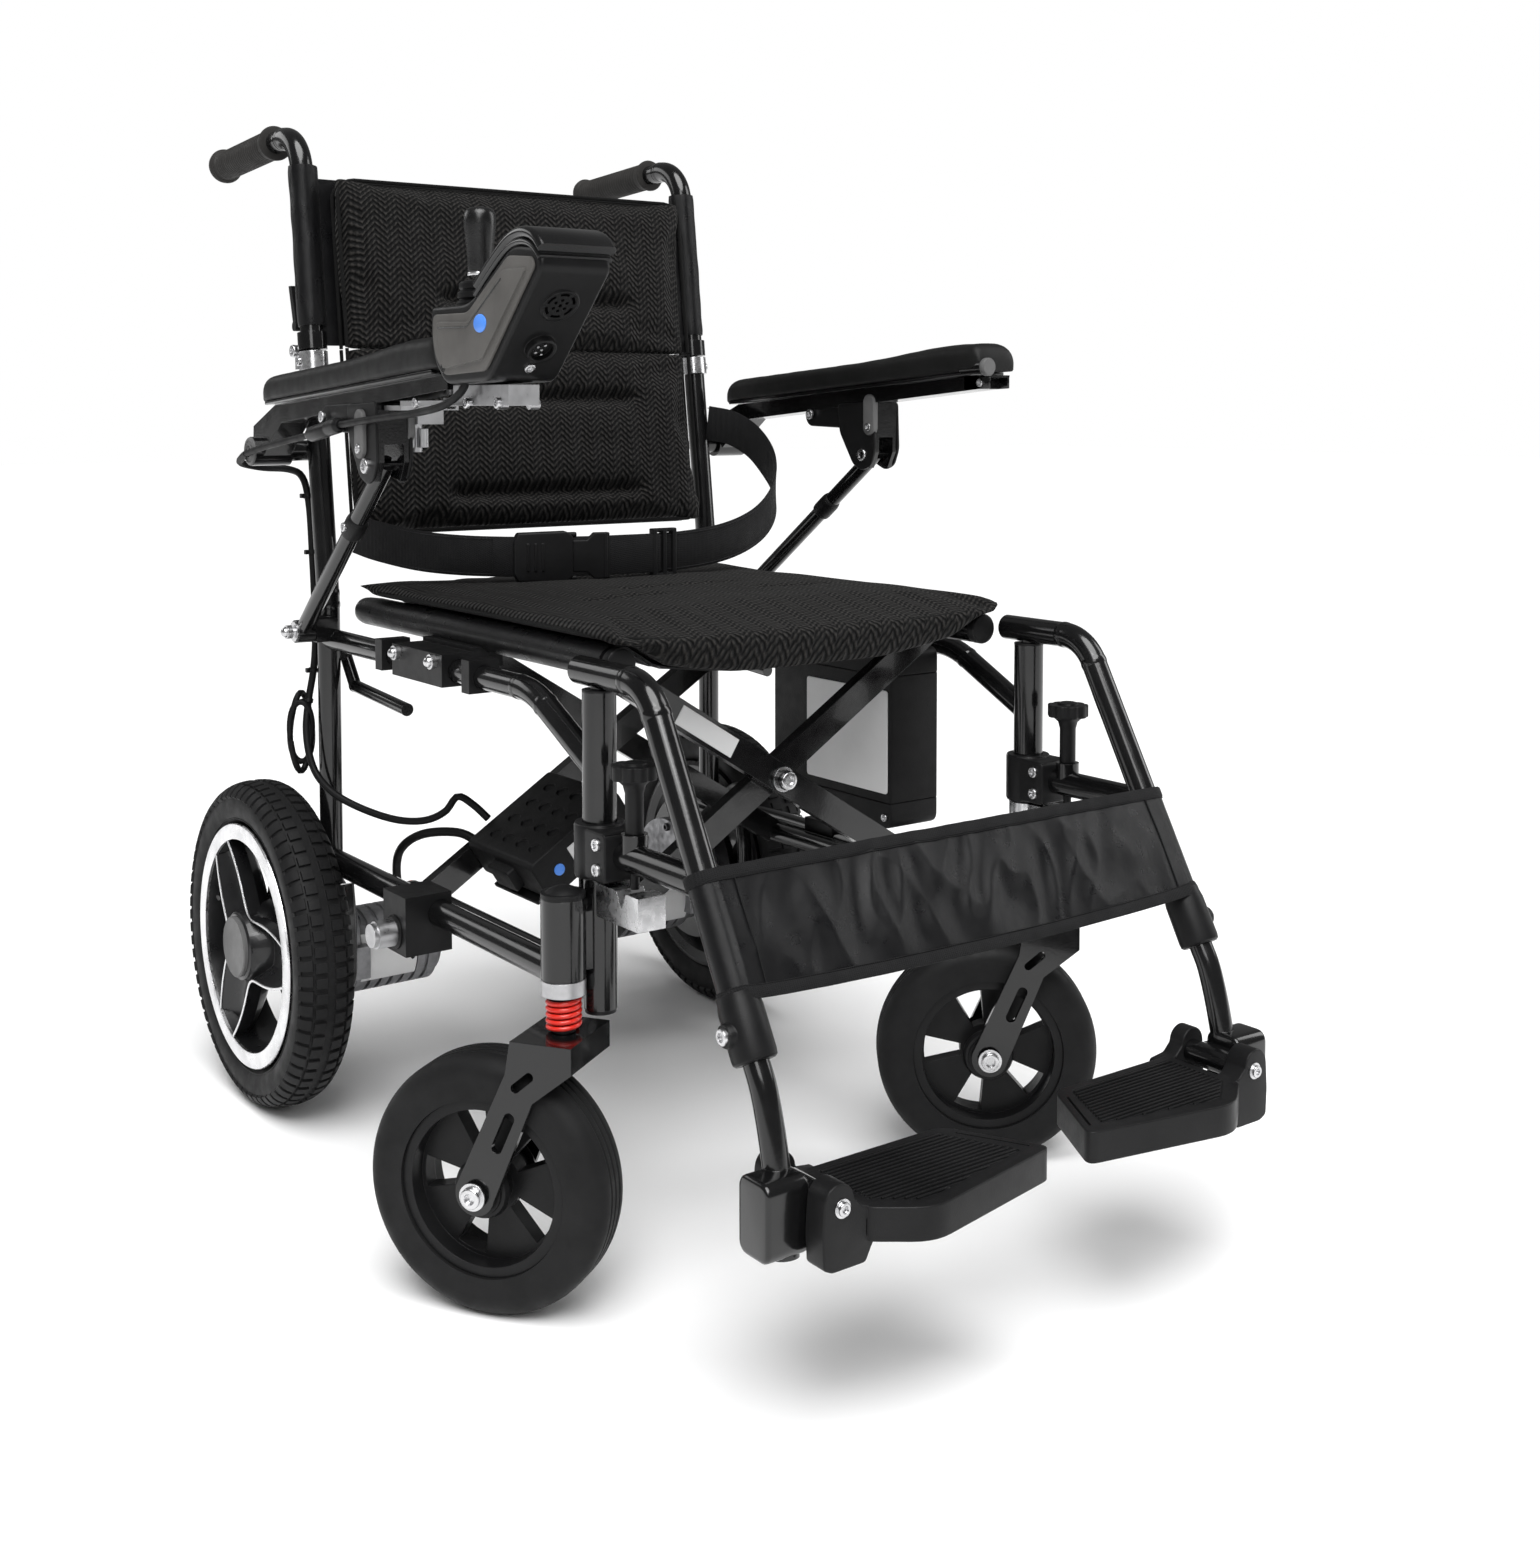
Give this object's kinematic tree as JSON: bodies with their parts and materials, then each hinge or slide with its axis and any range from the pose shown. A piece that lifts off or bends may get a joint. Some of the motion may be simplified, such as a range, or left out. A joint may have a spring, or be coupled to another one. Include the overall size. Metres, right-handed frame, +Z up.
{
  "type": "folding power wheelchair",
  "caption": "Folding power wheelchair: scissor-braced tube frame, motor wheels, sprung casters, swing-away leg rests, flip-up armrests and a joystick.",
  "frame": {"origin": "on the floor, midway between the side frames, 250 mm behind the front posts' centre line", "axes": "+X to the user's left, +Y to the rear, +Z up; the user faces -Y"},
  "size_m": [0.6629, 1.0695, 0.9674],
  "materials": {
    "black_tube": "gloss",
    "satin_black_plastic": "satin",
    "bright_hardware": "polished",
    "grey_casting": "cast, matt",
    "tyre_rubber": "matt",
    "rear_rim_alloy": "gloss black with a machined ring",
    "silver_metal": "satin",
    "red_spring": "gloss",
    "caster_hub_plastic": "satin",
    "footplate_plastic": "grained",
    "arm_pad_foam": "moulded foam skin",
    "grip_rubber": "matt",
    "sling_nylon": "woven nylon",
    "cushion_mesh": "air-mesh",
    "belt_webbing": "woven webbing",
    "battery_case": "satin",
    "controller_case": "satin",
    "joystick_case": "satin",
    "stick_rubber": "satin",
    "cable_sheath": "satin"
  },
  "bodies": {
    "frame_r": {"side_frame_r": "black_tube", "frame_fittings_r": "satin_black_plastic", "frame_hardware_r": "bright_hardware", "motor_r": "grey_casting", "back_cushion_lower": "cushion_mesh", "lap_belt": "belt_webbing", "joystick_lead": "cable_sheath"},
    "arm_a": {"cross_arm_a": "black_tube", "seat_sling": "sling_nylon", "seat_cushion": "cushion_mesh", "controller_box": "controller_case"},
    "arm_b": {"cross_arm_b": "black_tube"},
    "frame_l": {"side_frame_l": "black_tube", "frame_fittings_l": "satin_black_plastic", "frame_hardware_l": "bright_hardware", "motor_l": "grey_casting", "battery_pack": "battery_case"},
    "joystick_gimbal": {"joystick_gimbal": "silver_metal"},
    "joystick_stick": {"joystick_stick": "stick_rubber"},
    "rear_wheel_r": {"rear_tyre_r": "tyre_rubber", "rear_rim_r": "rear_rim_alloy"},
    "freewheel_r": {"freewheel_knob_r": "silver_metal"},
    "caster_r": {"caster_stem_r": "silver_metal", "caster_spring_r": "red_spring"},
    "fork_r": {"caster_fork_r": "black_tube"},
    "caster_wheel_r": {"caster_tyre_r": "tyre_rubber", "caster_hub_r": "caster_hub_plastic"},
    "hanger_r": {"hanger_tube_r": "black_tube"},
    "latch_r": {"latch_knob_r": "satin_black_plastic"},
    "leg_r": {"leg_tube_r": "black_tube"},
    "footplate_r": {"footplate_r": "footplate_plastic"},
    "armrest_r": {"arm_rail_r": "black_tube", "arm_pad_r": "arm_pad_foam", "joystick_housing": "joystick_case", "joystick_bracket": "silver_metal"},
    "strut_r": {"arm_strut_r": "black_tube"},
    "back_r": {"back_tube_r": "black_tube", "grip_r": "grip_rubber", "back_sling": "sling_nylon", "back_cushion_upper": "cushion_mesh"},
    "lever_r": {"back_lever_r": "satin_black_plastic"},
    "rear_wheel_l": {"rear_tyre_l": "tyre_rubber", "rear_rim_l": "rear_rim_alloy"},
    "freewheel_l": {"freewheel_knob_l": "silver_metal"},
    "caster_l": {"caster_stem_l": "silver_metal", "caster_spring_l": "red_spring"},
    "fork_l": {"caster_fork_l": "black_tube"},
    "caster_wheel_l": {"caster_tyre_l": "tyre_rubber", "caster_hub_l": "caster_hub_plastic"},
    "hanger_l": {"hanger_tube_l": "black_tube", "calf_strap": "sling_nylon"},
    "latch_l": {"latch_knob_l": "satin_black_plastic"},
    "leg_l": {"leg_tube_l": "black_tube"},
    "footplate_l": {"footplate_l": "footplate_plastic"},
    "armrest_l": {"arm_rail_l": "black_tube", "arm_pad_l": "arm_pad_foam"},
    "strut_l": {"arm_strut_l": "black_tube"},
    "back_l": {"back_tube_l": "black_tube", "grip_l": "grip_rubber"},
    "lever_l": {"back_lever_l": "satin_black_plastic"}
  },
  "joints": [
    {"name": "fold", "type": "hinge", "parent": "frame_r", "child": "arm_a", "pos_m": [-0.203, 0, 0.24], "axis": [0, -1, 0], "range_deg": [0, 30], "deforming": ["seat_sling", "seat_cushion", "back_cushion_lower", "lap_belt", "joystick_lead", "back_cushion_upper", "back_sling", "calf_strap"]},
    {"name": "cross_pivot", "type": "hinge", "parent": "arm_a", "child": "arm_b", "pos_m": [0, 0, 0.3681], "axis": [0, 1, 0], "range_deg": [0, 60]},
    {"name": "left_lower_pivot", "type": "hinge", "parent": "arm_b", "child": "frame_l", "pos_m": [0.203, 0, 0.24], "axis": [0, -1, 0], "range_deg": [0, 30]},
    {"name": "rear_wheel_spin_r", "type": "hinge", "parent": "frame_r", "child": "rear_wheel_r", "pos_m": [-0.27, 0.308, 0.159], "axis": [1, 0, 0], "continuous": true},
    {"name": "freewheel_pull_r", "type": "slide", "parent": "frame_r", "child": "freewheel_r", "axis": [-1, 0, 0], "range_m": [0, 0.006]},
    {"name": "caster_swivel_r", "type": "hinge", "parent": "frame_r", "child": "caster_r", "pos_m": [-0.255, -0.248, 0.26], "axis": [0, 0, 1], "continuous": true},
    {"name": "caster_suspension_r", "type": "slide", "parent": "caster_r", "child": "fork_r", "axis": [0, 0, 1], "range_m": [0, 0.009], "stiffness_N_per_m": 30000, "springref_m": -0.005, "deforming": ["caster_spring_r"]},
    {"name": "caster_wheel_spin_r", "type": "hinge", "parent": "fork_r", "child": "caster_wheel_r", "pos_m": [-0.28743, -0.19992, 0.1], "axis": [-0.829, -0.5592, 0], "continuous": true},
    {"name": "leg_rest_swing_r", "type": "hinge", "parent": "frame_r", "child": "hanger_r", "pos_m": [-0.224, -0.25, 0.4], "axis": [0, 0, -1], "range_deg": [0, 90]},
    {"name": "latch_lift_r", "type": "slide", "parent": "hanger_r", "child": "latch_r", "axis": [0, 0, 1], "range_m": [0, 0.01], "stiffness_N_per_m": 800, "springref_m": -0.008},
    {"name": "leg_length_r", "type": "slide", "parent": "hanger_r", "child": "leg_r", "axis": [0, -0.4848, -0.8746], "range_m": [0, 0.05]},
    {"name": "footplate_flip_r", "type": "hinge", "parent": "leg_r", "child": "footplate_r", "pos_m": [-0.206, -0.48, 0.167], "axis": [0, -1, 0], "range_deg": [0, 90]},
    {"name": "armrest_flip_r", "type": "hinge", "parent": "frame_r", "child": "armrest_r", "pos_m": [-0.27, 0.285, 0.644], "axis": [-1, 0, 0], "range_deg": [0, 80]},
    {"name": "strut_swing_r", "type": "hinge", "parent": "frame_r", "child": "strut_r", "pos_m": [-0.257, 0.239, 0.473], "axis": [-1, 0, 0], "range_deg": [0, 48]},
    {"name": "back_fold_r", "type": "hinge", "parent": "frame_r", "child": "back_r", "pos_m": [-0.224, 0.301, 0.741], "axis": [-1, 0, 0], "range_deg": [0, 90]},
    {"name": "back_release_r", "type": "hinge", "parent": "back_r", "child": "lever_r", "pos_m": [-0.224, 0.313, 0.766], "axis": [-1, 0, 0], "range_deg": [0, 25]},
    {"name": "rear_wheel_spin_l", "type": "hinge", "parent": "frame_l", "child": "rear_wheel_l", "pos_m": [0.27, 0.308, 0.159], "axis": [1, 0, 0], "continuous": true},
    {"name": "freewheel_pull_l", "type": "slide", "parent": "frame_l", "child": "freewheel_l", "axis": [1, 0, 0], "range_m": [0, 0.006]},
    {"name": "caster_swivel_l", "type": "hinge", "parent": "frame_l", "child": "caster_l", "pos_m": [0.255, -0.248, 0.26], "axis": [0, 0, 1], "continuous": true},
    {"name": "caster_suspension_l", "type": "slide", "parent": "caster_l", "child": "fork_l", "axis": [0, 0, 1], "range_m": [0, 0.009], "stiffness_N_per_m": 30000, "springref_m": -0.005, "deforming": ["caster_spring_l"]},
    {"name": "caster_wheel_spin_l", "type": "hinge", "parent": "fork_l", "child": "caster_wheel_l", "pos_m": [0.20868, -0.2131, 0.1], "axis": [-0.6018, -0.7986, 0], "continuous": true},
    {"name": "leg_rest_swing_l", "type": "hinge", "parent": "frame_l", "child": "hanger_l", "pos_m": [0.224, -0.25, 0.4], "axis": [0, 0, 1], "range_deg": [0, 90]},
    {"name": "latch_lift_l", "type": "slide", "parent": "hanger_l", "child": "latch_l", "axis": [0, 0, 1], "range_m": [0, 0.01], "stiffness_N_per_m": 800, "springref_m": -0.008},
    {"name": "leg_length_l", "type": "slide", "parent": "hanger_l", "child": "leg_l", "axis": [0, -0.4848, -0.8746], "range_m": [0, 0.05]},
    {"name": "footplate_flip_l", "type": "hinge", "parent": "leg_l", "child": "footplate_l", "pos_m": [0.206, -0.48, 0.167], "axis": [0, 1, 0], "range_deg": [0, 90]},
    {"name": "armrest_flip_l", "type": "hinge", "parent": "frame_l", "child": "armrest_l", "pos_m": [0.27, 0.285, 0.644], "axis": [-1, 0, 0], "range_deg": [0, 80]},
    {"name": "strut_swing_l", "type": "hinge", "parent": "frame_l", "child": "strut_l", "pos_m": [0.257, 0.239, 0.473], "axis": [-1, 0, 0], "range_deg": [0, 48]},
    {"name": "back_fold_l", "type": "hinge", "parent": "frame_l", "child": "back_l", "pos_m": [0.224, 0.301, 0.741], "axis": [-1, 0, 0], "range_deg": [0, 90]},
    {"name": "back_release_l", "type": "hinge", "parent": "back_l", "child": "lever_l", "pos_m": [0.224, 0.313, 0.766], "axis": [-1, 0, 0], "range_deg": [0, 25]},
    {"name": "joystick_pitch", "type": "hinge", "parent": "armrest_r", "child": "joystick_gimbal", "pos_m": [-0.267, -0.148, 0.765], "axis": [1, 0, 0], "range_deg": [-12, 12], "stiffness_Nm_per_rad": 0.3},
    {"name": "joystick_roll", "type": "hinge", "parent": "joystick_gimbal", "child": "joystick_stick", "pos_m": [-0.267, -0.148, 0.765], "axis": [0, 1, 0], "range_deg": [-12, 12], "stiffness_Nm_per_rad": 0.3}
  ],
  "couplings": [
    {"joint": "cross_pivot", "follows": "fold", "ratio": 2},
    {"joint": "left_lower_pivot", "follows": "fold", "ratio": 1},
    {"joint": "footplate_flip_r", "follows": "fold", "ratio": 3},
    {"joint": "strut_swing_r", "follows": "armrest_flip_r", "ratio": 0.6},
    {"joint": "footplate_flip_l", "follows": "fold", "ratio": 3},
    {"joint": "strut_swing_l", "follows": "armrest_flip_l", "ratio": 0.6},
    {"joint": "back_fold_l", "follows": "back_fold_r", "ratio": 1}
  ]
}
